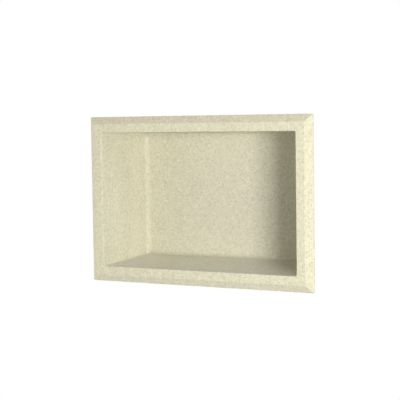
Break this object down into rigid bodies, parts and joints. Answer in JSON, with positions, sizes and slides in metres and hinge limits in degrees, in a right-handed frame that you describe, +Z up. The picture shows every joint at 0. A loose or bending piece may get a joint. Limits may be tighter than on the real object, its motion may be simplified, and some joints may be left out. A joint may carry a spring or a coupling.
{
  "type": "recessed shower shelf",
  "caption": "Recessed shower shelf: a tapered rectangular niche with a coved back, behind a flat bevel-edged flange that is bonded to the wall around a cut-out.",
  "frame": {"origin": "centre of the flange's back, in the plane of the finished wall", "axes": "+Z up as installed, +Y into the wall, +X to the right as seen from the front; the mouth faces -Y"},
  "size_m": [0.28, 0.097, 0.19],
  "materials": {
    "speckled_resin": "satin cream with fine darker speckles"
  },
  "bodies": {
    "root": {"recessed_shelf": "speckled_resin"}
  },
  "joints": []
}
